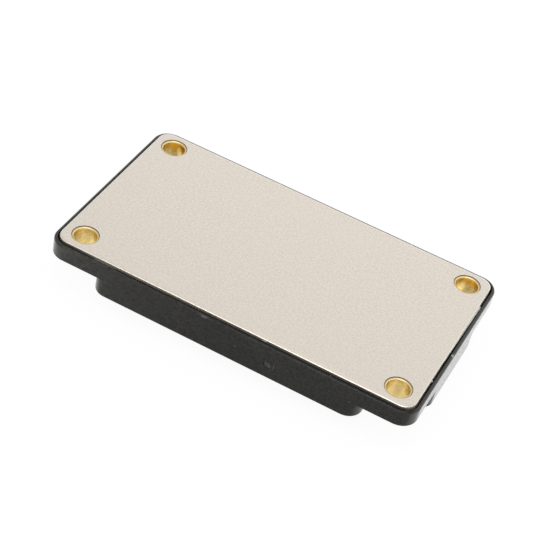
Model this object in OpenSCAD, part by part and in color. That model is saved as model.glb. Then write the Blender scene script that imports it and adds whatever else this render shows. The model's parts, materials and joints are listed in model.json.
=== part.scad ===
// Low-profile power MOSFET module: three half-bridge legs on a plated copper baseplate.
// The baseplate's contact face points up (+Z) and the solder pins point down to Z = 0.
// X runs along the module and Y across it. All lengths are in millimetres.

/* [Mounting] */
// Distance between the mounting holes along the module
hole_pitch_x = 93; // [88:0.5:110]
// Distance between the mounting holes across the module
hole_pitch_y = 48; // [46:0.5:60]
// Diameter of the bore that a mounting screw passes through
screw_bore = 6.2; // [5.4:0.1:6.8]
// Wall of the brass bushings
bushing_wall = 0.55; // [0.45:0.05:0.9]
// How far the bushings end below the contact face
bushing_drop = 0.15; // [0.1:0.05:0.6]
// How far the bushings stand out below the corner flanges
bushing_reach = 1.3; // [0.2:0.1:2]
// Rounding of the bushings' mouth at the contact face
bushing_lip_r = 0.4; // [0.1:0.05:0.4]
// Chamfer at the other end of a bushing's bore
bushing_chamfer = 0.2; // [0.1:0.05:0.3]
// Room between a screw's axis and the body, along the module
head_room_x = 6.7; // [6:0.1:8]
// Room between a screw's axis and the body, across the module
head_room_y = 7.8; // [6.5:0.1:10]

/* [Baseplate] */
// Plate beyond the hole centres at each end
plate_end = 6.05; // [5.6:0.05:9]
// Plate beyond the hole centres at each long side
plate_side = 5.55; // [5.4:0.05:9]
// Thickness of the plate
plate_t = 3; // [2.2:0.1:3.6]
// Radius of the plate's corners
plate_r = 3.55; // [2:0.05:5]
// Width of the edge of the contact face that stamping rolls over
plate_roll_w = 0.6; // [0.3:0.05:0.65]
// Radius of that rolled edge
plate_roll_r = 1; // [0.7:0.05:1.5]
// Rounding of the plate's other edge
plate_back_r = 0.2; // [0.1:0.05:0.4]

/* [Frame] */
// Gap between the plate and the rim round it
plate_gap = 0.6; // [0.1:0.05:0.7]
// Width of the rim round the plate
rim_w = 0.85; // [0.6:0.05:2]
// How far the rim lies below the contact face
rim_drop = 0.8; // [0.3:0.05:1.2]
// Rounding of the rim's outer edge
rim_edge_r = 0.6; // [0.1:0.05:0.6]
// Distance from the contact face to the underside of the corner flanges
flange_drop = 5.5; // [4.6:0.1:6.5]
// Distance from the contact face to the board side of the body
body_drop = 11; // [10.6:0.1:14]
// Radius of the body's outer corners on the long sides
body_r = 4.4; // [2:0.1:6]
// Radius of the body's outer corners at the ends
tongue_r = 3.5; // [2:0.1:6]
// Radius of the notches' inner corners
notch_r = 2; // [1:0.1:3]
// Rounding of the body's edge on the board side
body_edge_r = 0.25; // [0.1:0.05:0.8]
// Wall between the body's outside and the cavity
wall = 3.4; // [2.6:0.1:3.8]
// Radius of the cavity's corners
cavity_r = 2; // [1:0.1:2.2]
// Diameter of the moulding gate's mark on the long side
gate_mark_d = 2.8; // [2.2:0.1:3.4]
// Depth of the gate's mark
gate_mark_depth = 0.15; // [0.05:0.05:0.4]
// Diameter of the gate's stub, left standing in its mark
gate_stub_d = 1.8; // [1:0.1:2]
// Place of the gate's mark along the module
gate_mark_x = 13.7; // [-30:0.1:30]
// Distance from the contact face to the gate's mark
gate_mark_drop = 6.4; // [5:0.1:9]

/* [Bonds] */
// Thickness of the adhesive between plate and frame
bond_t = 0.15; // [0.05:0.05:0.3]
// Distance from the adhesive to the plate's edge
bond_edge = 1; // [0.5:0.1:1.5]
// Distance from the adhesive to the cavity
bond_inset = 0.8; // [0.4:0.1:1.5]
// Distance from the adhesive to the bushings
bond_ring = 0.8; // [0.4:0.1:1.2]
// Radial clearance of the bushings in the frame
bushing_fit = 0.02; // [0.01:0.01:0.05]
// Radial clearance of the bushings in the plate
bushing_gap = 0.15; // [0.05:0.05:0.3]

/* [Board side] */
// Height of the standoffs on the body
standoff_h = 1; // [0.5:0.1:2]
// Diameter of the standoffs and of the pillars that carry them
standoff_d = 5.2; // [4.4:0.1:6]
// How far a pillar runs into the cavity's walls
pillar_bite = 0.2; // [0.1:0.05:0.5]
// Diameter of the pilot holes for the board's screws
pilot_d = 2.1; // [1.6:0.1:2.6]
// Depth of the pilot holes
pilot_depth = 7; // [5:0.5:8]
// Length of the pins beyond the standoffs
pin_reach = 4; // [2.5:0.1:6]

/* [Lid] */
// Thickness of the lid
lid_t = 2; // [1.2:0.1:2.4]
// How far the lid lies below the body's board side
lid_recess = 0.3; // [0:0.05:0.6]
// Width of the ledge that the lid sits on
lid_ledge = 1.4; // [0.8:0.1:1.8]
// Gap round the lid
lid_gap = 0.15; // [0.05:0.05:0.3]

/* [Pins] */
// Diameter of the power pins
power_pin_d = 1.5; // [1:0.1:1.6]
// Diameter of the signal pins
signal_pin_d = 1; // [0.6:0.1:1.2]
// How far a pin's foot stands out from its shank
pin_foot_w = 0.45; // [0.2:0.05:0.5]
// Height of a pin's foot
pin_foot_h = 0.5; // [0.3:0.05:0.8]
// Chamfer at a pin's tip
pin_tip = 0.25; // [0.1:0.05:0.4]
// Distance between the power pins of a row
pin_pitch = 3.9; // [3:0.1:4]
// Distance from a pin's foot to the end of its track
pin_edge = 0.3; // [0.1:0.05:0.5]
// Radial clearance of the pins in the lid
pin_gap = 0.15; // [0.05:0.05:0.3]
// Lead-in of the lid's pin holes, on the inside
pin_funnel = 0.5; // [0.2:0.1:0.6]

/* [Substrates] */
// Thickness of the ceramic
ceramic_t = 0.63; // [0.3:0.01:1]
// Thickness of the copper on each side of the ceramic
copper_t = 0.3; // [0.2:0.05:0.4]
// Thickness of the solder between a substrate and the plate
attach_t = 0.2; // [0.1:0.05:0.3]
// How far that solder stays inside the copper on it
attach_inset = 0.3; // [0.1:0.1:1]
// Bare ceramic round the copper
copper_margin = 0.7; // [0.5:0.1:1]
// Gap between two tracks
track_gap = 0.6; // [0.4:0.1:0.8]
// Gap between two substrates
substrate_gap = 0.8; // [0.5:0.1:1.5]
// Room between the substrates and the cavity's walls
substrate_room = 0.8; // [0.5:0.1:1.5]
// Width of the strip that the upper switch's wires land on
phase_strip_w = 3.4; // [3:0.1:4]
// Width of the source strips
source_strip_w = 3.6; // [3:0.1:4]
// Width of the gate strips
gate_strip_w = 1.8; // [1.6:0.1:2.2]
// Length of track kept free for a row of pins
pin_land = 3.8; // [3:0.1:4.5]

/* [Chips and wires] */
// Length of a chip
die_l = 7; // [5:0.1:7.4]
// Width of a chip
die_w = 6; // [5.4:0.1:6.6]
// Thickness of a chip
die_t = 0.22; // [0.1:0.02:0.4]
// Thickness of the solder under a chip
die_attach_t = 0.1; // [0.05:0.01:0.15]
// Gap between the two chips of a switch
die_gap = 0.8; // [0.6:0.1:1.5]
// Distance from the first chip to the inner end of its track
die_inset = 2; // [1.8:0.1:3]
// Diameter of the source wires
source_wire_d = 0.4; // [0.3:0.05:0.5]
// Diameter of the gate and sense wires
gate_wire_d = 0.25; // [0.15:0.05:0.3]
// Distance between two wires on a chip
wire_pitch = 1.2; // [0.9:0.05:1.3]
// Height of a wire's loop
wire_rise = 1.6; // [1:0.1:2]
// Length of a wire's bonded foot
wire_foot = 1; // [0.6:0.1:1.2]
// Room between the gel and the lid
gel_gap = 0.9; // [0.3:0.1:1.2]

/* [Hidden] */
$fn = 64;

// Overall sizes
contact_z = body_drop + standoff_h + pin_reach;
plate_l = hole_pitch_x + 2 * plate_end;
plate_w = hole_pitch_y + 2 * plate_side;
rim_reach = plate_gap + rim_w;
frame_l = plate_l + 2 * rim_reach;
frame_w = plate_w + 2 * rim_reach;
frame_r = plate_r + rim_reach;
broad_l = hole_pitch_x - 2 * head_room_x;
tongue_w = hole_pitch_y - 2 * head_room_y;
bore_r = screw_bore / 2;
bushing_r = bore_r + bushing_wall;

// Levels
plate_back_z = contact_z - plate_t;
seat_z = plate_back_z - bond_t;
flange_z = contact_z - flange_drop;
bushing_z = flange_z - bushing_reach;
body_z = contact_z - body_drop;
standoff_z = body_z - standoff_h;
lid_z = body_z + lid_recess;
ledge_z = lid_z + lid_t;
gel_z = ledge_z + gel_gap;

// How far a cut runs past the face that it opens
overcut = 1;

// Cavity and pillars
broad_cavity = [broad_l - 2 * wall, frame_w - 2 * wall];
tongue_cavity = [frame_l - 2 * wall, tongue_w - 2 * wall];
pillar_r = standoff_d / 2;
pillar_x = broad_cavity[0] / 2 + pillar_bite - pillar_r;
pillar_y = broad_cavity[1] / 2 + pillar_bite - pillar_r;

// Heights above the plate's underside, counted away from the plate
back_copper_h = attach_t;
ceramic_h = back_copper_h + copper_t;
track_h = ceramic_h + ceramic_t;
die_attach_h = track_h + copper_t;
die_h = die_attach_h + die_attach_t;
die_top_h = die_h + die_t;
pin_length = plate_back_z - die_attach_h;

// Plan of one substrate: u along the module, v across it
legs = 3;
dies_per_switch = 2;
spare_l = broad_cavity[0] - 2 * substrate_room - (legs - 1) * substrate_gap;
substrate_l = spare_l / legs;
copper_u = substrate_l / 2 - copper_margin;
inner_v = track_gap / 2;
dies_v = dies_per_switch * die_w + (dies_per_switch - 1) * die_gap;
copper_v = inner_v + die_inset + dies_v + pin_land;
substrate_w = 2 * (copper_v + copper_margin);
source_u0 = copper_u - source_strip_w;
gate_u0 = source_u0 - track_gap - gate_strip_w;
pad_u0 = phase_strip_w + track_gap - copper_u;
pad_u1 = gate_u0 - track_gap;
pad_l = pad_u1 - pad_u0;
phase_u = phase_strip_w / 2 - copper_u;
gate_u = gate_u0 + gate_strip_w / 2;
source_u = source_u0 + source_strip_w / 2;
die_u = (pad_u0 + pad_u1) / 2;
sense_v0 = copper_v - pin_land + track_gap;

// Places of the pins on one substrate
power_foot_r = power_pin_d / 2 + pin_foot_w;
signal_foot_r = signal_pin_d / 2 + pin_foot_w;
row_v = copper_v - pin_land / 2;
signal_v = copper_v - signal_foot_r - pin_edge;
row_count = floor((pad_l - 2 * power_foot_r - 2 * pin_edge) / pin_pitch) + 1;
row_u = [for (k = [0 : row_count - 1]) die_u + (k - (row_count - 1) / 2) * pin_pitch];
plus_spots = [for (u = row_u) [u, row_v]];
phase_spots = [for (u = row_u) [u, -row_v]];
minus_spots = [[source_u, -(die_v(0) + die_v(1)) / 2], [source_u, -inner_v - power_foot_r]];
high_gate_spots = [[gate_u, signal_v], [source_u, signal_v]];
low_gate_spots = [[gate_u, -signal_v], [source_u, -signal_v]];
power_spots = concat(plus_spots, phase_spots, minus_spots);
signal_spots = concat(high_gate_spots, low_gate_spots);

corner_names = ["front_left", "front_right", "back_left", "back_right"];
bushing_nodes = [for (name = corner_names) str("bushing_", name)];
leg_parts = [
    "substrate_solder", "back_copper", "ceramic", "tracks", "chip_solder", "chips", "bond_wires",
    "plus_pins", "minus_pins", "phase_pins", "high_gate_pins", "low_gate_pins"
];
leg_nodes = [for (part = leg_parts) for (leg = [1 : legs]) str(part, "_", leg)];

// Middle of a chip, counted from the inner end of its track
function die_v(k) = inner_v + die_inset + die_w / 2 + k * (die_w + die_gap);

// Signs of the four quadrants, in turn
function quadrant(q) = [[1, 1], [-1, 1], [-1, -1], [1, -1]][q];

// Centre of a mounting hole, by the corner's place in corner_names
function hole_at(corner) = [
    (corner % 2 == 0 ? -1 : 1) * hole_pitch_x / 2,
    (corner < 2 ? -1 : 1) * hole_pitch_y / 2
];

// Middle of a leg along the module
function leg_x(leg) = (leg - (legs + 1) / 2) * (substrate_l + substrate_gap);

// Flat shapes

// Part of a quarter disc, from its axis out to a width
module disc_part(r, width) {
    intersection() {
        circle(r);
        square([width, r]);
    }
}

module quarter_disc(r) {
    disc_part(r, r);
}

module rounded_rectangle(size, r) {
    square([size[0] - 2 * r, size[1]], center = true);
    for (side = [-1, 1])
        translate([side * (size[0] - r) / 2, 0]) square([r, size[1] - 2 * r], center = true);
    for (q = [0 : 3])
        translate([quadrant(q)[0] * (size[0] / 2 - r), quadrant(q)[1] * (size[1] / 2 - r)])
            rotate(90 * q) quarter_disc(r);
}

// Section of a slab from its middle to its edge, with the edge rounded below and above.
// Above, the rounding may be a shallow roll that is less wide than its radius.
module edge_section(run, low, high, low_r, high_r, high_w) {
    translate([0, low + low_r]) square([run, high - high_r - low - low_r]);
    if (low_r > 0) {
        translate([0, low]) square([run - low_r, low_r]);
        translate([run - low_r, low + low_r]) rotate(-90) quarter_disc(low_r);
    }
    if (high_r > 0) {
        translate([0, high - high_r]) square([run - high_w, high_r]);
        translate([run - high_w, high - high_r]) disc_part(high_r, high_w);
    }
}

// Slab with rounded corners and rounded edges
module edged_slab(size, r, low, high, low_r = 0, high_r = 0, high_w) {
    w = is_undef(high_w) ? high_r : high_w;
    rotate([90, 0, 90]) linear_extrude(size[0] - 2 * r, center = true)
        for (side = [0, 1]) mirror([side, 0]) edge_section(size[1] / 2, low, high, low_r, high_r, w);
    for (side = [0, 180])
        rotate(side) translate([size[0] / 2 - r, 0, 0]) rotate([90, 0, 0])
            linear_extrude(size[1] - 2 * r, center = true) edge_section(r, low, high, low_r, high_r, w);
    for (q = [0 : 3])
        translate([quadrant(q)[0] * (size[0] / 2 - r), quadrant(q)[1] * (size[1] / 2 - r), 0])
            rotate(90 * q) rotate_extrude(angle = 90) edge_section(r, low, high, low_r, high_r, w);
}

// Cross-shaped outline of the cavity, grown by a margin
module cavity_cross(grow) {
    margin = [2 * grow, 2 * grow];
    rounded_rectangle(broad_cavity + margin, cavity_r + grow);
    rounded_rectangle(tongue_cavity + margin, cavity_r + grow);
}

// Outline of the four pillars, each joined to its corner of the cavity
module pillars(grow) {
    for (q = [0 : 3])
        translate([quadrant(q)[0] * pillar_x, quadrant(q)[1] * pillar_y]) rotate(90 * q) {
            circle(pillar_r + grow);
            translate([-grow, -grow]) square(standoff_d + lid_ledge);
        }
}

module open_cavity() {
    difference() {
        cavity_cross(0);
        pillars(0);
    }
}

// Baseplate and frame

module baseplate() {
    color("lightgray") difference() {
        edged_slab(
            [plate_l, plate_w], plate_r, plate_back_z, contact_z,
            plate_back_r, plate_roll_r, plate_roll_w
        );
        for (corner = [0 : 3])
            translate(concat(hole_at(corner), plate_back_z - overcut))
                cylinder(r = bushing_r + bushing_gap, h = plate_t + 2 * overcut);
    }
}

module bushing(corner) {
    c = bushing_chamfer;
    lip_x = bore_r + bushing_lip_r;
    top = contact_z - bushing_drop;
    lip_z = top - bushing_lip_r;
    color("goldenrod") translate(hole_at(corner)) rotate_extrude() {
        polygon([
            [bore_r, bushing_z + c], [bore_r + c, bushing_z], [bushing_r, bushing_z],
            [bushing_r, lip_z], [bore_r, lip_z]
        ]);
        translate([lip_x, lip_z]) square([bushing_r - lip_x, bushing_lip_r]);
        translate([lip_x, lip_z]) rotate(90) quarter_disc(bushing_lip_r);
    }
}

// Fillet in the inner corner of a notch, with the body's rounded edge
module notch_fillet() {
    outer_r = 2 * (notch_r + body_edge_r);
    rotate(180) rotate_extrude(angle = 90) translate([outer_r, 0]) mirror([1, 0])
        edge_section(outer_r - notch_r, body_z, flange_z, body_edge_r, 0, 0);
}

module body_block() {
    edged_slab([frame_l, tongue_w], tongue_r, body_z, flange_z, body_edge_r);
    edged_slab([broad_l, frame_w], body_r, body_z, flange_z, body_edge_r);
    for (q = [0 : 3])
        translate([quadrant(q)[0] * (broad_l / 2 + notch_r), quadrant(q)[1] * (tongue_w / 2 + notch_r), 0])
            rotate(90 * q) notch_fillet();
}

module gate_mark() {
    translate([gate_mark_x, gate_mark_depth - frame_w / 2, contact_z - gate_mark_drop]) rotate([90, 0, 0])
        linear_extrude(gate_mark_depth + overcut) difference() {
            circle(d = gate_mark_d);
            circle(d = gate_stub_d);
        }
}

module housing_frame() {
    pocket = [plate_l + 2 * plate_gap, plate_w + 2 * plate_gap];
    color("dimgray") difference() {
        union() {
            edged_slab([frame_l, frame_w], frame_r, flange_z, contact_z - rim_drop, 0, rim_edge_r);
            body_block();
            for (q = [0 : 3])
                translate([quadrant(q)[0] * pillar_x, quadrant(q)[1] * pillar_y, standoff_z])
                    cylinder(r = pillar_r, h = standoff_h);
        }
        edged_slab(pocket, plate_r + plate_gap, seat_z, contact_z + overcut);
        translate([0, 0, body_z - overcut]) linear_extrude(seat_z - body_z + 2 * overcut) open_cavity();
        translate([0, 0, body_z - overcut]) linear_extrude(ledge_z - body_z + overcut) difference() {
            cavity_cross(lid_ledge);
            pillars(0);
        }
        for (corner = [0 : 3])
            translate(concat(hole_at(corner), flange_z - overcut))
                cylinder(r = bushing_r + bushing_fit, h = flange_drop + 2 * overcut);
        for (q = [0 : 3])
            translate([quadrant(q)[0] * pillar_x, quadrant(q)[1] * pillar_y, standoff_z - overcut])
                cylinder(d = pilot_d, h = pilot_depth + overcut);
        gate_mark();
    }
}

module plate_adhesive() {
    bead = [plate_l - 2 * bond_edge, plate_w - 2 * bond_edge];
    color("gainsboro") translate([0, 0, seat_z]) linear_extrude(bond_t) difference() {
        rounded_rectangle(bead, plate_r - bond_edge);
        cavity_cross(bond_inset);
        for (corner = [0 : 3]) translate(hole_at(corner)) circle(bushing_r + bond_ring);
    }
}

// Holes for one kind of pin in every leg, each widened on the inside to lead its pin in
module pin_holes(spots, d) {
    r = d / 2 + pin_gap;
    top = lid_t + overcut;
    for (leg = [1 : legs])
        for (spot = spots) translate([leg_x(leg) + spot[0], -spot[1], 0]) rotate_extrude() polygon([
            [0, -overcut], [r, -overcut], [r, lid_t - pin_funnel], [r + pin_funnel + overcut, top], [0, top]
        ]);
}

module lid() {
    color("darkslategray") translate([0, 0, lid_z]) difference() {
        linear_extrude(lid_t) difference() {
            cavity_cross(lid_ledge - lid_gap);
            pillars(lid_gap);
        }
        pin_holes(power_spots, power_pin_d);
        pin_holes(signal_spots, signal_pin_d);
    }
}

// Inside of one leg, seen from the pin side: the plate's underside is height 0 and heights point down

module on_plate(leg) {
    translate([leg_x(leg), 0, plate_back_z]) rotate([180, 0, 0]) children();
}

module layer(h, t, inset) {
    translate([0, 0, h]) linear_extrude(t)
        square([substrate_l - 2 * inset, substrate_w - 2 * inset], center = true);
}

module substrate_solder() {
    color("silver") layer(0, attach_t, copper_margin + attach_inset);
}

module back_copper() {
    color("peru") layer(back_copper_h, copper_t, copper_margin);
}

module ceramic() {
    color("white") layer(ceramic_h, ceramic_t, 0);
}

// Rectangle between two corners
module patch(low, high) {
    translate(low) square(high - low);
}

module track_outlines() {
    patch([pad_u0, inner_v], [pad_u1, copper_v]);
    patch([-copper_u, -copper_v], [pad_u1, -inner_v]);
    patch([-copper_u, -copper_v], [pad_u0 - track_gap, copper_v]);
    patch([gate_u0, inner_v], [gate_u0 + gate_strip_w, copper_v]);
    patch([gate_u0, -copper_v], [gate_u0 + gate_strip_w, -inner_v]);
    patch([source_u0, inner_v], [copper_u, copper_v]);
    patch([source_u0, track_gap - sense_v0], [copper_u, -inner_v]);
    patch([source_u0, -copper_v], [copper_u, -sense_v0]);
}

module tracks() {
    color("peru") translate([0, 0, track_h]) linear_extrude(copper_t) track_outlines();
}

// Chips of both switches: the upper switch lies at positive v
module at_chips() {
    for (side = [-1, 1])
        for (k = [0 : dies_per_switch - 1]) translate([die_u, side * die_v(k), 0]) children();
}

module chip_solder() {
    color("silver") at_chips() translate([0, 0, die_attach_h]) linear_extrude(die_attach_t)
        square([die_l, die_w], center = true);
}

module chips() {
    color("slategray") at_chips() translate([0, 0, die_h]) linear_extrude(die_t)
        square([die_l, die_w], center = true);
}

// Flattened foot of a bond wire, on the surface at height 0
module wire_foot(d) {
    width = 1.25 * d;
    height = 0.6 * d;
    translate([-wire_foot / 2, -width / 2, 0]) cube([wire_foot, width, height]);
}

// Bond wire from one point on a surface to another, looped in an arc
module bond_wire(start, end, d) {
    run = norm([end[0] - start[0], end[1] - start[1]]);
    climb = end[2] - start[2];
    chord = norm([run, climb]);
    arc_r = (chord * chord / 4 + wire_rise * wire_rise) / (2 * wire_rise);
    half_angle = asin(chord / 2 / arc_r);
    translate(start) rotate(atan2(end[1] - start[1], end[0] - start[0])) {
        wire_foot(d);
        translate([run, 0, climb]) wire_foot(d);
        translate([0, 0, d / 2]) rotate([0, -atan2(climb, run), 0])
            translate([chord / 2, 0, wire_rise - arc_r]) rotate([90, 0, 0]) rotate(90 - half_angle)
                rotate_extrude(angle = 2 * half_angle) translate([arc_r, 0]) circle(d = d);
    }
}

module bond_wires() {
    gate_end = die_u + die_l / 2 - wire_foot;
    sense_end = [source_u - power_foot_r, -sense_v0 - wire_foot / 2];
    color("gainsboro") {
        for (side = [-1, 1]) for (k = [0 : dies_per_switch - 1]) {
            v = side * die_v(k);
            for (j = [-1.5, -0.5, 0.5])
                bond_wire(
                    [die_u, v + j * wire_pitch, die_top_h],
                    [side > 0 ? phase_u : source_u, v + j * wire_pitch, die_attach_h],
                    source_wire_d
                );
            bond_wire(
                [gate_end, v + 1.5 * wire_pitch, die_top_h],
                [gate_u, v + 1.5 * wire_pitch, die_attach_h],
                gate_wire_d
            );
        }
        bond_wire([gate_end, die_v(1), die_top_h], [source_u, die_v(1), die_attach_h], gate_wire_d);
        bond_wire(
            [gate_end, -die_v(1) - 2 * wire_pitch, die_top_h], concat(sense_end, die_attach_h), gate_wire_d
        );
    }
}

// Round pin with a foot, standing on the tracks
module pins(spots, d) {
    r = d / 2;
    for (spot = spots) translate(concat(spot, die_attach_h)) rotate_extrude() polygon([
        [0, 0], [r + pin_foot_w, 0], [r + pin_foot_w, pin_foot_h], [r, pin_foot_h],
        [r, pin_length - pin_tip], [r - pin_tip, pin_length], [0, pin_length]
    ]);
}

module leg_part(part) {
    if (part == "substrate_solder") substrate_solder();
    if (part == "back_copper") back_copper();
    if (part == "ceramic") ceramic();
    if (part == "tracks") tracks();
    if (part == "chip_solder") chip_solder();
    if (part == "chips") chips();
    if (part == "bond_wires") bond_wires();
    if (part == "plus_pins") color("lightgray") pins(plus_spots, power_pin_d);
    if (part == "minus_pins") color("lightgray") pins(minus_spots, power_pin_d);
    if (part == "phase_pins") color("lightgray") pins(phase_spots, power_pin_d);
    if (part == "high_gate_pins") color("lightgray") pins(high_gate_spots, signal_pin_d);
    if (part == "low_gate_pins") color("lightgray") pins(low_gate_spots, signal_pin_d);
}

// Soft filling, cast round everything that stands in the cavity
module gel() {
    color("lightcyan", 0.4) difference() {
        translate([0, 0, gel_z]) linear_extrude(plate_back_z - gel_z) open_cavity();
        for (leg = [1 : legs]) on_plate(leg) for (part = leg_parts) leg_part(part);
    }
}

baseplate();
housing_frame();
lid();
plate_adhesive();
gel();
for (corner = [0 : 3]) bushing(corner);
for (part = leg_parts) for (leg = [1 : legs])
    on_plate(leg) leg_part(part);
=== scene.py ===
# Looks of a low-profile power module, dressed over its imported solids. Lengths are in metres.
import json

import bmesh
import bpy
from mathutils import Matrix, Vector, noise


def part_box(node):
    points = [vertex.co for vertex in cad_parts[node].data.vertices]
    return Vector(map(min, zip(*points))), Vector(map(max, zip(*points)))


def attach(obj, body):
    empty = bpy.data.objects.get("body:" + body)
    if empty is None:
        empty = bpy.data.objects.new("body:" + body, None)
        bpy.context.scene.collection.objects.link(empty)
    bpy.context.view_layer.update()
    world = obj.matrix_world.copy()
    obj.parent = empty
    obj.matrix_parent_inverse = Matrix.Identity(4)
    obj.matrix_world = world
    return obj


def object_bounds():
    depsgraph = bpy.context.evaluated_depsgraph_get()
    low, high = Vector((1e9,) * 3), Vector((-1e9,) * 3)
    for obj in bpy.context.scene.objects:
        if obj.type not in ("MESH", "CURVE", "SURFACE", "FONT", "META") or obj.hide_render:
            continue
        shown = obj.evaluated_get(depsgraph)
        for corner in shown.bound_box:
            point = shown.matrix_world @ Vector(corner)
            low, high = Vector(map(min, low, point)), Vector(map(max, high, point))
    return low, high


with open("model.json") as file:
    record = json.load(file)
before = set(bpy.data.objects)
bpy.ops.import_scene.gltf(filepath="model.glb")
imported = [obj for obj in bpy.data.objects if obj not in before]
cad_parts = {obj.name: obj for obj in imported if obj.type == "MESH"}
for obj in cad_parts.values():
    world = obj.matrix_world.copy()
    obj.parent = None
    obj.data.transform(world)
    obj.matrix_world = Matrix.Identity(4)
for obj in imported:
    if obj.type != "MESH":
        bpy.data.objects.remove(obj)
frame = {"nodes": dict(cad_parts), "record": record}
cad_low, cad_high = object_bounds()

MM = 0.001

# Camera fitted to the photograph: its place, two of its axes, its lens and the nearest that it sees
CAMERA_AT = Vector((101.5, -314.2, 300.2)) * MM
CAMERA_RIGHT = Vector((0.8776, 0.4461, 0.1758))
CAMERA_BACK = Vector((0.2314, -0.7151, 0.6596))
LENS_MM = 105.64
SENSOR_MM = 36.0
CAMERA_NEAREST = 10 * MM

# Light: white surroundings and a softbox overhead
SKY_STRENGTH = 0.85
SOFTBOX_SIZE = 0.73
SOFTBOX_AT = Vector((0.07, -0.35, 0.9))
SOFTBOX_WATTS = 2.75

# How bright each side of the surroundings is: its axis, where its change starts and ends, and its share
SKY_SIDES = (
    ("Y", 0.55, 0.85, 1.5),
    ("X", -0.45, 0.0, 0.93),
    ("X", 0.25, 0.85, 1.6),
    ("Y", -0.5, -0.85, 1.3),
)

# Floor: its size, its grey for the eye and for the light that it throws back, and its glow for the eye
FLOOR_SIZE = 8.0
FLOOR_GREY = 0.06
FLOOR_BOUNCE = 0.35
FLOOR_GLOW = 0.94

# The floor's glow in reflections: round the part, close to its right end, in the shade under it, and in a
# darker patch in front of it
FLOOR_ROUND_GLOW = 1.0
FLOOR_RIGHT_GLOW = 1.35
FLOOR_SHADE_GLOW = 0.45
FLOOR_PATCH_GLOW = 0.5

# Width of the soft edges at the part's outline, and how far the bright strip reaches past the right end
FLOOR_EDGE = 1 * MM
FLOOR_RIGHT_REACH = 5 * MM

# Where the shade fades on each side of the part's middle. The patch has a middle of its own along the part,
# fades on each side of that, and fades away from the part.
FLOOR_SHADE_SIDES = (15.3 * MM, 20.4 * MM)
FLOOR_PATCH_MIDDLE = 10 * MM
FLOOR_PATCH_SIDES = (63 * MM, 67 * MM)
FLOOR_PATCH_AHEAD = (16 * MM, 50 * MM)

# Plate: depths below its face where the flat ends, where the sheared side starts and where its painted shade
# starts
PLATE_FLAT_ENDS = (0.01 * MM, 0.06 * MM)
PLATE_SHEAR_STARTS = (0.25 * MM, 0.45 * MM)
PLATE_SHADE_STARTS = (1.0 * MM, 1.3 * MM)

# Distances from the plate's front edge where the painted highlight and the painted shade fade, and from its
# right edge where it pales
PLATE_HIGHLIGHT_FADES = (0.3 * MM, 1.3 * MM)
PLATE_SHADE_FADES = (0.2 * MM, 0.8 * MM)
PLATE_END_PALES = (2 * MM, 0.5 * MM)

# Places along the plate: the painted highlight comes in to the right, and the sheared side darkens to the
# left and the right
PLATE_HIGHLIGHT_COMES = (-15 * MM, 20 * MM)
PLATE_DARK_LEFT = (-47 * MM, -38 * MM)
PLATE_DARK_RIGHT = (-30 * MM, 40 * MM)

# Greatest share of the painted highlight, and least roughness of the sheared side
PLATE_HIGHLIGHT_SHARE = 0.5
PLATE_SIDE_ROUGHNESS = 0.65

# How far roughness swings about its middle with the grain of plastic and with the mottle of other stuff
GRAIN_SWING = 0.06
MOTTLE_SWING = 0.05

# Most of a noise lies between these
NOISE_LOW, NOISE_HIGH = 0.3, 0.7

# Scale of a noise along each axis: rolling streaks on the plate, and turned rings in the bushings
PLATE_STREAKS = (30, 1400, 1400)
BUSHING_RINGS = (0, 0, 9000)

# Bushings: depths below their tops where the flat rim ends and where the bore starts
BUSHING_RIM_ENDS = (0.02 * MM, 0.08 * MM)
BUSHING_BORE_STARTS = (0.3 * MM, 0.8 * MM)

# Blotchy paling of the frame's left end, which is painted light: its share at most, and where it fades along
# the frame
LEFT_LIGHT_SHARE = 0.58
LEFT_LIGHT_FADES = (-48 * MM, -12 * MM)

# Marks on the frame, and painted light and shade on it: place and reach along each axis in millimetres,
# raggedness and colour
FRAME_MARKS_AND_PAINTED_LIGHT = (
    # Torn face of the moulding gate, in strokes, whose paler patch also paints light over the shade in the
    # gate's groove, and a painted shadow beside it
    ((13.9, -31.0, 9.4), (1.5, 1.0, 1.5), 0.3, (0.034, 0.033, 0.029)),
    ((12.85, -31.0, 9.6), (0.3, 1.0, 1.1), 0.4, (0.055, 0.053, 0.048)),
    ((13.9, -31.0, 9.1), (0.6, 1.0, 0.9), 0.5, (0.050, 0.048, 0.044)),
    ((15.25, -31.0, 9.5), (0.25, 1.0, 1.1), 0.4, (0.052, 0.050, 0.045)),
    ((14.8, -31.0, 9.9), (0.2, 0.6, 0.9), 0.3, (0.002, 0.002, 0.002)),
    # Paler right side of the rim: painted light
    ((53.5, 0.0, 15.0), (0.9, 45.0, 0.9), 0.3, (0.036, 0.034, 0.030)),
    # Pale scuff along the rim, and a spot on its right side
    ((-6.4, -30.9, 15.0), (1.7, 0.5, 0.3), 0.8, (0.08, 0.08, 0.077)),
    ((53.6, -3.7, 15.2), (0.5, 0.6, 0.5), 0.3, (0.24, 0.24, 0.235)),
    # Pale fleck with a painted shadow at its foot, and a pit painted as dark shade with a painted highlight
    # on its lip
    ((3.8, -31.0, 10.5), (0.25, 0.4, 0.25), 0.0, (0.10, 0.10, 0.095)),
    ((4.1, -31.0, 9.7), (0.4, 0.4, 0.3), 0.0, (0.001, 0.001, 0.001)),
    ((36.7, -30.8, 9.9), (0.5, 0.6, 0.45), 0.0, (0.001, 0.001, 0.001)),
    ((37.0, -30.7, 10.3), (0.4, 0.7, 0.35), 0.0, (0.14, 0.14, 0.135)),
)

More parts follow.
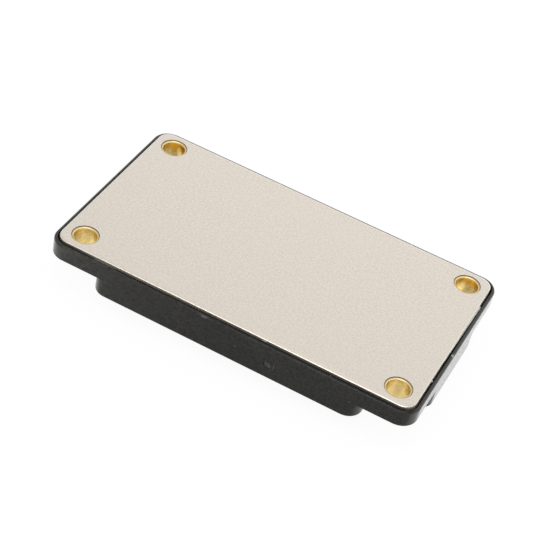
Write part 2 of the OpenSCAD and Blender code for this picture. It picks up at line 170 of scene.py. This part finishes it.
# Painted reflections and shade in the bores, in rows of the same kind
BORE_PAINTED_LIGHT = (
    # Painted reflections: darker, warmer upper walls in the two back bores, and a painted highlight lower in
    # one of them
    ((-46.5, 27.0, 15.0), (3.8, 3.2, 3.2), 0.0, (0.74, 0.42, 0.05)),
    ((46.5, 27.0, 15.2), (3.8, 3.2, 2.0), 0.0, (0.72, 0.42, 0.06)),
    ((-46.0, 27.0, 12.8), (1.05, 1.2, 1.9), 0.0, (1.00, 0.76, 0.31)),
    # Painted shade: a duller patch low in a front bore
    ((44.6, -22.0, 11.3), (3.2, 3.2, 3.2), 0.0, (0.62, 0.46, 0.19)),
)

# How much of a mark's reach has its full strength, and the size of the noise that breaks up a ragged edge
MARK_CORE = 0.6
MARK_RAG_SIZE = 0.7 * MM

# Adhesive that rose beside the plate, in millimetres. A bead on the right runs along Y and grows wider.
BEAD_FROM, BEAD_TO = -7.5, 18.3
BEAD_THIN, BEAD_WIDE = 0.06, 0.42
BEAD_WOBBLE = 0.15
BEAD_STEPS = 40

# The bead's section in millimetres: its overlap with the plate, and the depths of its root, shoulder, crest
# and inner edge below the plate's face. The crest lies at a share of the bead's width.
BEAD_OVERLAP = 0.05
BEAD_ROOT = 2.0
BEAD_SHOULDER = 0.55
BEAD_CREST = 0.3
BEAD_INNER = 0.22
BEAD_CREST_SHARE = 0.6

# Crumbs of the same adhesive at the plate's edge: place and radii in millimetres
CRUMBS = (
    ((52.7, -16.2, 15.5), (0.25, 0.25, 0.3)),
    ((-37.0, -29.64, 14.95), (3.4, 0.04, 0.04)),
    ((10.8, -29.58, 15.4), (0.7, 0.09, 0.1)),
    ((30.2, -30.2, 15.0), (0.18, 0.2, 0.2)),
)

# How uneven the crumbs are, the size of their lumps, and a seed that keeps them the same in every run
CRUMB_ROUGH = 0.06 * MM
CRUMB_LUMP = 0.3 * MM
CRUMB_SEED = 1


class Nodes:
    """One material's node tree, with the few steps that the materials here repeat."""

    def __init__(self, name):
        self.material = bpy.data.materials.new(name)
        self.material.use_nodes = True
        self.tree = self.material.node_tree
        self.shader = self.tree.nodes["Principled BSDF"]
        self.place = self.add("ShaderNodeTexCoord").outputs["Object"]

    def add(self, kind, **values):
        node = self.tree.nodes.new(kind)
        for key, value in values.items():
            setattr(node, key, value)
        return node

    def link(self, source, target):
        self.tree.links.new(source, target)

    def plain(self, **values):
        """Values that are the same all over the surface, on the shader's own sockets."""
        for key, value in values.items():
            self.shader.inputs[key.replace("_", " ")].default_value = value

    def drive(self, socket, value):
        """A value that differs over the surface, on one of the shader's sockets."""
        self.link(value, self.shader.inputs[socket])

    def along(self, axis):
        """The place on the surface along one axis."""
        node = self.add("ShaderNodeSeparateXYZ")
        self.link(self.place, node.inputs["Vector"])
        return node.outputs[axis]

    def stretched(self, scale):
        """The place on the surface, with each axis scaled by itself."""
        node = self.add("ShaderNodeMapping")
        node.inputs["Scale"].default_value = scale
        self.link(self.place, node.inputs["Vector"])
        return node.outputs["Vector"]

    def noise(self, size, detail, place=None):
        """Noise with features of about the given size."""
        node = self.add("ShaderNodeTexNoise")
        node.inputs["Scale"].default_value = 1 / size
        node.inputs["Detail"].default_value = detail
        self.link(place or self.place, node.inputs["Vector"])
        return node.outputs["Fac"]

    def spread(self, value, low, high, start=NOISE_LOW, end=NOISE_HIGH):
        """A number that runs from low to high as the value runs from start to end."""
        node = self.add("ShaderNodeMapRange")
        node.inputs["From Min"].default_value = start
        node.inputs["From Max"].default_value = end
        node.inputs["To Min"].default_value = low
        node.inputs["To Max"].default_value = high
        self.link(value, node.inputs["Value"])
        return node.outputs["Result"]

    def ramp(self, axis, start, end, low=0.0, high=1.0):
        """A number that runs from low to high between two places along an axis."""
        return self.spread(self.along(axis), low, high, start, end)

    def by_depth(self, top, depths, above, below):
        """One number above a band of depths under a top face, and another below it."""
        shallow, deep = depths
        return self.ramp("Z", top - deep, top - shallow, below, above)

    def math(self, operation, first, second=0.0):
        """The outcome of an operation on numbers, which may be plain or come from nodes."""
        node = self.add("ShaderNodeMath", operation=operation)
        for socket, value in zip(node.inputs, (first, second)):
            if isinstance(value, (int, float)):
                socket.default_value = value
            else:
                self.link(value, socket)
        return node.outputs["Value"]

    def mix(self, share, first, second):
        """A colour between two others, which may be plain or come from nodes."""
        node = self.add("ShaderNodeMix", data_type="RGBA")
        self.link(share, node.inputs["Factor"])
        for socket, value in ((node.inputs["A"], first), (node.inputs["B"], second)):
            if isinstance(value, tuple):
                socket.default_value = (*value, 1.0)
            else:
                self.link(value, socket)
        return node.outputs["Result"]

    def spot(self, at, reach, ragged):
        """A patch round a place on the surface: 1 at its middle, 0 at its edge, which noise may break up."""
        away = self.add("ShaderNodeVectorMath", operation="SUBTRACT")
        away.inputs[1].default_value = at
        self.link(self.place, away.inputs[0])
        shrunk = self.add("ShaderNodeVectorMath", operation="DIVIDE")
        shrunk.inputs[1].default_value = reach
        self.link(away.outputs["Vector"], shrunk.inputs[0])
        length = self.add("ShaderNodeVectorMath", operation="LENGTH")
        self.link(shrunk.outputs["Vector"], length.inputs[0])
        distance = length.outputs["Value"]
        if ragged:
            rough_edge = self.spread(self.noise(MARK_RAG_SIZE, 3.0), -ragged, ragged)
            distance = self.math("ADD", distance, rough_edge)
        return self.spread(distance, 1.0, 0.0, MARK_CORE, 1.0)

    def painted(self, tone, marks):
        """The tone with marks on it, each a row of place, reach, raggedness and colour."""
        for place, size, ragged, colour in marks:
            at = [value * MM for value in place]
            reach = [value * MM for value in size]
            tone = self.mix(self.spot(at, reach, ragged), tone, colour)
        return tone

    def bump(self, height, depth):
        node = self.add("ShaderNodeBump")
        node.inputs["Distance"].default_value = depth
        self.link(height, node.inputs["Height"])
        self.drive("Normal", node.outputs["Normal"])


def nickel_face(n, speckle, low, high):
    """Tone of the plate's face: speckles, slow drifts, faint rolling streaks and a painted highlight along
    the front edge.
    """
    drift = n.noise(30 * MM, 2.0)
    streaks = n.noise(1.0, 3.0, n.stretched(PLATE_STREAKS))
    tone = n.mix(n.spread(speckle, 0, 1), (0.612, 0.562, 0.494), (0.788, 0.725, 0.646))
    tone = n.mix(n.spread(drift, 0.0, 0.3), tone, (0.710, 0.660, 0.591))
    tone = n.mix(n.spread(streaks, 0.0, 0.25), tone, (0.695, 0.641, 0.570))
    # A paler band along the front edge, coming in towards the right, is a painted highlight
    near, far = PLATE_HIGHLIGHT_FADES
    at_front = n.ramp("Y", low.y + near, low.y + far, 1.0, 0.0)
    to_right = n.ramp("X", *PLATE_HIGHLIGHT_COMES, 0.0, PLATE_HIGHLIGHT_SHARE)
    painted_highlight = n.math("MULTIPLY", at_front, to_right)
    flat = n.by_depth(high.z, PLATE_FLAT_ENDS, 1.0, 0.0)
    return n.mix(n.math("MULTIPLY", painted_highlight, flat), tone, (0.86, 0.80, 0.72))


def nickel_side(n, low, high):
    """Tone of the plate's sheared side: paler near the left and at the right end, with painted shade low in
    front.
    """
    to_left = n.ramp("X", *PLATE_DARK_LEFT, 1.0, 0.0)
    to_right = n.ramp("X", *PLATE_DARK_RIGHT)
    tone = n.mix(n.math("MAXIMUM", to_left, to_right), (0.39, 0.35, 0.29), (0.22, 0.20, 0.17))
    # Darker low on the front side: painted shade in the gap between the plate and the rim
    near, far = PLATE_SHADE_FADES
    in_front = n.ramp("Y", low.y + near, low.y + far, 1.0, 0.0)
    gap_shade = n.by_depth(high.z, PLATE_SHADE_STARTS, 0.0, 1.0)
    tone = n.mix(n.math("MULTIPLY", gap_shade, in_front), tone, (0.11, 0.10, 0.085))
    inner, outer = PLATE_END_PALES
    at_end = n.ramp("X", high.x - inner, high.x - outer)
    return n.mix(at_end, tone, (0.52, 0.48, 0.42))


def nickel_plate():
    """Fine matt nickel plating with dull sheared sides."""
    n = Nodes("nickel_plate")
    n.plain(Metallic=1.0)
    low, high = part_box("baseplate")
    speckle = n.noise(0.55 * MM, 2.0)
    sheared = n.by_depth(high.z, PLATE_SHEAR_STARTS, 0.0, 1.0)
    n.drive("Base Color", n.mix(sheared, nickel_face(n, speckle, low, high), nickel_side(n, low, high)))
    side_roughness = n.math("MULTIPLY", sheared, PLATE_SIDE_ROUGHNESS)
    n.drive("Roughness", n.math("MAXIMUM", n.spread(speckle, 0.39, 0.31), side_roughness))
    n.bump(n.noise(0.25 * MM, 3.0), 0.004 * MM)
    return n.material


def black_plastic(name, dark, pale, rough, specular):
    """Moulded plastic with a fine eroded grain. Gives its nodes and its tone."""
    n = Nodes(name)
    grain = n.noise(0.7 * MM, 1.0)
    drift = n.noise(9 * MM, 3.0)
    tone = n.mix(n.spread(grain, 0, 1), dark, pale)
    tone = n.mix(n.spread(drift, 0.0, 0.5), tone, dark)
    n.drive("Roughness", n.spread(grain, rough - GRAIN_SWING, rough + GRAIN_SWING))
    n.plain(Specular_IOR_Level=specular)
    n.bump(n.noise(0.3 * MM, 3.0), 0.012 * MM)
    return n, tone


def moulded_plastic():
    """The frame's plastic, paler to the left in blotches of painted light, with marks of moulding and
    handling and some painted light and shade.
    """
    dark, pale = (0.001, 0.0009, 0.0007), (0.0235, 0.0221, 0.0181)
    n, tone = black_plastic("moulded_plastic", dark, pale, rough=0.20, specular=0.30)
    # Paler blotches towards the left end are painted light
    blotches = n.spread(n.noise(1.2 * MM, 5.0), 0.1, 1.9)
    painted_left_light = n.math("MULTIPLY", n.ramp("X", *LEFT_LIGHT_FADES, LEFT_LIGHT_SHARE, 0.0), blotches)
    tone = n.mix(painted_left_light, tone, (0.045, 0.0435, 0.038))
    n.drive("Base Color", n.painted(tone, FRAME_MARKS_AND_PAINTED_LIGHT))
    return n.material


def lid_plastic():
    """The lid's plastic, duller than the frame's."""
    dark, pale = (0.006, 0.0058, 0.0055), (0.038, 0.037, 0.035)
    n, tone = black_plastic("lid_plastic", dark, pale, rough=0.45, specular=0.30)
    n.drive("Base Color", tone)
    return n.material


def brass():
    """Turned brass: a dull flat rim, a bright mouth, and a mottled bore with painted reflections and shade,
    and fine rings.
    """
    n = Nodes("brass")
    n.plain(Metallic=1.0)
    mottle = n.noise(0.7 * MM, 3.0)
    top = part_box("bushing_front_left")[1].z
    rim = n.by_depth(top, BUSHING_RIM_ENDS, 1.0, 0.0)
    inside = n.by_depth(top, BUSHING_BORE_STARTS, 0.0, 1.0)
    mouth = n.mix(rim, (0.87, 0.70, 0.37), (0.57, 0.44, 0.22))
    bore = n.mix(n.spread(mottle, 0, 1), (0.64, 0.46, 0.15), (0.90, 0.71, 0.32))
    # The bore carries painted reflections and shade
    n.drive("Base Color", n.mix(inside, mouth, n.painted(bore, BORE_PAINTED_LIGHT)))
    n.drive("Roughness", n.spread(mottle, 0.28, 0.38))
    n.bump(n.noise(1.0, 2.0, n.stretched(BUSHING_RINGS)), 0.003 * MM)
    return n.material


def mottled(name, dark, pale, rough, size, depth):
    """Stuff with a mottled tone, roughness and surface. Gives its nodes."""
    n = Nodes(name)
    mottle = n.noise(size, 5.0)
    n.drive("Base Color", n.mix(n.spread(mottle, 0, 1), dark, pale))
    n.drive("Roughness", n.spread(mottle, rough - MOTTLE_SWING, rough + MOTTLE_SWING))
    n.bump(mottle, depth)
    return n


def metal(name, dark, pale, rough, size, depth):
    n = mottled(name, dark, pale, rough, size, depth)
    n.plain(Metallic=1.0)
    return n.material


def tinned_pin():
    return metal("tinned_pin", (0.66, 0.65, 0.63), (0.76, 0.75, 0.72), 0.32, 0.8 * MM, 0.004 * MM)


def solder():
    return metal("solder", (0.52, 0.52, 0.52), (0.64, 0.64, 0.63), 0.4, 1.2 * MM, 0.01 * MM)


def copper():
    return metal("copper", (0.66, 0.32, 0.17), (0.78, 0.42, 0.24), 0.38, 1.0 * MM, 0.005 * MM)


def aluminium_wire():
    return metal("aluminium_wire", (0.74, 0.74, 0.75), (0.84, 0.84, 0.84), 0.3, 0.4 * MM, 0.004 * MM)


def silicon():
    return metal("silicon", (0.44, 0.44, 0.46), (0.56, 0.56, 0.57), 0.35, 0.6 * MM, 0.002 * MM)


def ceramic():
    return mottled("ceramic", (0.80, 0.79, 0.75), (0.88, 0.87, 0.83), 0.6, 0.7 * MM, 0.006 * MM).material


def adhesive():
    return mottled("adhesive", (0.36, 0.36, 0.34), (0.46, 0.46, 0.43), 0.5, 2.0 * MM, 0.02 * MM).material


def silicone_gel():
    n = mottled("silicone_gel", (0.90, 0.93, 0.94), (0.96, 0.97, 0.98), 0.12, 6.0 * MM, 0.01 * MM)
    n.plain(Transmission_Weight=1.0, IOR=1.41)
    return n.material


FINISHES = {
    "nickel_plate": nickel_plate,
    "moulded_plastic": moulded_plastic,
    "lid_plastic": lid_plastic,
    "brass": brass,
    "tinned_pin": tinned_pin,
    "solder": solder,
    "copper": copper,
    "aluminium_wire": aluminium_wire,
    "silicon": silicon,
    "ceramic": ceramic,
    "adhesive": adhesive,
    "silicone_gel": silicone_gel,
}


def dress_nodes(materials):
    """Gives every solid the finish of its material slot."""
    for part in frame["record"]["subparts"]:
        piece = frame["nodes"][part["node"]]
        slot = part["material_slot"]
        piece.data.materials.clear()
        piece.data.materials.append(materials[slot])


def bead_section(width):
    """Outline of the bead in millimetres: across from the plate's side, and up from its face."""
    return (
        (-BEAD_OVERLAP, -BEAD_ROOT),
        (width, -BEAD_ROOT),
        (width, -BEAD_SHOULDER),
        (BEAD_CREST_SHARE * width, -BEAD_CREST),
        (-BEAD_OVERLAP, -BEAD_INNER),
    )


def lay_bead(mesh, side_x, top_z):
    """Bead along the plate's right side, rooted in the gap and sloping away from the plate's edge."""
    rings = []
    for step in range(BEAD_STEPS + 1):
        share = step / BEAD_STEPS
        y = BEAD_FROM + share * (BEAD_TO - BEAD_FROM)
        width = BEAD_THIN + share * (BEAD_WIDE - BEAD_THIN)
        width = width + BEAD_WOBBLE * share * noise.noise(Vector((0, y, 0)))
        corners = [(side_x + u * MM, y * MM, top_z + w * MM) for u, w in bead_section(width)]
        rings.append([mesh.verts.new(corner) for corner in corners])
    for near, far in zip(rings, rings[1:]):
        for corner in range(len(near)):
            mesh.faces.new((near[corner - 1], near[corner], far[corner], far[corner - 1]))
    mesh.faces.new(rings[0])
    mesh.faces.new(rings[-1])
    bmesh.ops.recalc_face_normals(mesh, faces=mesh.faces[:])


def drop_crumbs(mesh):
    """Uneven crumbs at the plate's edge."""
    noise.seed_set(CRUMB_SEED)
    for place, radii in CRUMBS:
        shape = Matrix.Translation(Vector(place) * MM) @ Matrix.Diagonal((*(Vector(radii) * MM), 1.0))
        ball = bmesh.ops.create_icosphere(mesh, subdivisions=3, radius=1.0, matrix=shape)
        for vertex in ball["verts"]:
            vertex.co += CRUMB_ROUGH * noise.noise_vector(vertex.co / CRUMB_LUMP)


def add_squeezed_adhesive(material):
    """Adhesive that rose beside the plate when it was glued in."""
    plate_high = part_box("baseplate")[1]
    shape = bmesh.new()
    lay_bead(shape, plate_high.x, plate_high.z)
    drop_crumbs(shape)
    for face in shape.faces:
        face.smooth = True
    mesh = bpy.data.meshes.new("squeezed_adhesive")
    shape.to_mesh(mesh)
    shape.free()
    mesh.materials.append(material)
    piece = bpy.data.objects.new("squeezed_adhesive", mesh)
    bpy.context.scene.collection.objects.link(piece)
    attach(piece, "root")


def add_camera():
    data = bpy.data.cameras.new("camera")
    data.lens = LENS_MM
    data.sensor_width = SENSOR_MM
    data.clip_start = CAMERA_NEAREST
    camera = bpy.data.objects.new("camera", data)
    bpy.context.scene.collection.objects.link(camera)
    back = CAMERA_BACK.normalized()
    up = back.cross(CAMERA_RIGHT).normalized()
    turn = Matrix((up.cross(back), up, back)).transposed()
    camera.matrix_world = Matrix.Translation(CAMERA_AT) @ turn.to_4x4()
    bpy.context.scene.camera = camera


def sky_level(tree):
    """Strength of the surroundings by direction."""
    axes = tree.nodes.new("ShaderNodeSeparateXYZ")
    place = tree.nodes.new("ShaderNodeTexCoord")
    tree.links.new(place.outputs["Generated"], axes.inputs["Vector"])
    level = SKY_STRENGTH
    for axis, start, end, share in SKY_SIDES:
        ramp = tree.nodes.new("ShaderNodeMapRange")
        ramp.interpolation_type = "SMOOTHSTEP"
        ramp.inputs["From Min"].default_value = start
        ramp.inputs["From Max"].default_value = end
        ramp.inputs["To Min"].default_value = 1.0
        ramp.inputs["To Max"].default_value = share
        tree.links.new(axes.outputs[axis], ramp.inputs["Value"])
        product = tree.nodes.new("ShaderNodeMath")
        product.operation = "MULTIPLY"
        tree.links.new(ramp.outputs["Result"], product.inputs[0])
        if isinstance(level, float):
            product.inputs[1].default_value = level
        else:
            tree.links.new(level, product.inputs[1])
        level = product.outputs["Value"]
    return level


def add_light():
    world = bpy.data.worlds.new("studio")
    bpy.context.scene.world = world
    world.use_nodes = True
    sky = world.node_tree.nodes["Background"]
    sky.inputs["Color"].default_value = (1.0, 1.0, 1.0, 1.0)
    world.node_tree.links.new(sky_level(world.node_tree), sky.inputs["Strength"])
    data = bpy.data.lights.new("softbox", "AREA")
    data.size = SOFTBOX_SIZE
    data.energy = SOFTBOX_WATTS
    softbox = bpy.data.objects.new("softbox", data)
    bpy.context.scene.collection.objects.link(softbox)
    softbox.location = SOFTBOX_AT
    softbox.rotation_euler = (-SOFTBOX_AT).to_track_quat("-Z", "Y").to_euler()


def glow_round_part(n):
    """Glow in reflections round the part: dim in its shade, and brightest in a strip at its right end."""
    strip_starts = cad_high.x + FLOOR_EDGE
    past_end = n.ramp("X", cad_high.x, strip_starts)
    close_by = n.ramp("X", strip_starts, cad_high.x + FLOOR_RIGHT_REACH, 1.0, 0.0)
    beside = n.spread(n.math("ABSOLUTE", n.along("Y")), 0.0, 1.0, *FLOOR_SHADE_SIDES)
    clear = n.math("MAXIMUM", past_end, beside)
    lit = n.spread(clear, FLOOR_SHADE_GLOW, FLOOR_ROUND_GLOW, 0.0, 1.0)
    strip = n.math("MULTIPLY", past_end, close_by)
    return n.math("ADD", lit, n.math("MULTIPLY", strip, FLOOR_RIGHT_GLOW - FLOOR_ROUND_GLOW))


def glow_in_front(n):
    """Glow in reflections in front of the part: dim in the patch, and even round it."""
    across = n.math("ABSOLUTE", n.math("SUBTRACT", n.along("X"), FLOOR_PATCH_MIDDLE))
    past_sides = n.spread(across, FLOOR_PATCH_GLOW, FLOOR_ROUND_GLOW, *FLOOR_PATCH_SIDES)
    near, far = FLOOR_PATCH_AHEAD
    far_off = n.ramp("Y", cad_low.y - near, cad_low.y - far, FLOOR_PATCH_GLOW, FLOOR_ROUND_GLOW)
    return n.math("MAXIMUM", past_sides, far_off)


def floor_glow(n, seen, mirrored):
    """How much the floor glows, to the eye and in reflections."""
    front = n.ramp("Y", cad_low.y - FLOOR_EDGE, cad_low.y, 1.0, 0.0)
    elsewhere = n.math("SUBTRACT", 1.0, front)
    front_part = n.math("MULTIPLY", front, glow_in_front(n))
    other_part = n.math("MULTIPLY", elsewhere, glow_round_part(n))
    by_place = n.math("ADD", front_part, other_part)
    return n.math("ADD", n.math("MULTIPLY", seen, FLOOR_GLOW), n.math("MULTIPLY", mirrored, by_place))


def floor_material():
    """White to the eye and shaded by what stands on it. It is clear from below."""
    n = Nodes("floor")
    n.tree.nodes.remove(n.shader)
    path = n.add("ShaderNodeLightPath")
    seen = path.outputs["Is Camera Ray"]
    mirrored = n.math("MAXIMUM", path.outputs["Is Glossy Ray"], path.outputs["Is Transmission Ray"])
    diffuse = n.add("ShaderNodeBsdfDiffuse")
    n.link(n.mix(seen, (FLOOR_BOUNCE,) * 3, (FLOOR_GREY,) * 3), diffuse.inputs["Color"])
    glow = n.add("ShaderNodeEmission")
    n.link(floor_glow(n, seen, mirrored), glow.inputs["Strength"])
    both = n.add("ShaderNodeAddShader")
    n.link(diffuse.outputs["BSDF"], both.inputs[0])
    n.link(glow.outputs["Emission"], both.inputs[1])
    one_sided = n.add("ShaderNodeMixShader")
    n.link(n.add("ShaderNodeNewGeometry").outputs["Backfacing"], one_sided.inputs[0])
    n.link(both.outputs["Shader"], one_sided.inputs[1])
    n.link(n.add("ShaderNodeBsdfTransparent").outputs["BSDF"], one_sided.inputs[2])
    n.link(one_sided.outputs["Shader"], n.tree.nodes["Material Output"].inputs["Surface"])
    return n.material


def add_floor():
    half = FLOOR_SIZE / 2
    mesh = bpy.data.meshes.new("floor")
    corners = [(-half, -half, 0), (half, -half, 0), (half, half, 0), (-half, half, 0)]
    mesh.from_pydata(corners, [], [(0, 1, 2, 3)])
    mesh.materials.append(floor_material())
    floor = bpy.data.objects.new("floor", mesh)
    bpy.context.scene.collection.objects.link(floor)


bpy.context.scene.view_settings.view_transform = "Standard"
add_camera()
add_light()
add_floor()
materials = {slot: make() for slot, make in FINISHES.items()}
dress_nodes(materials)
add_squeezed_adhesive(materials["adhesive"])
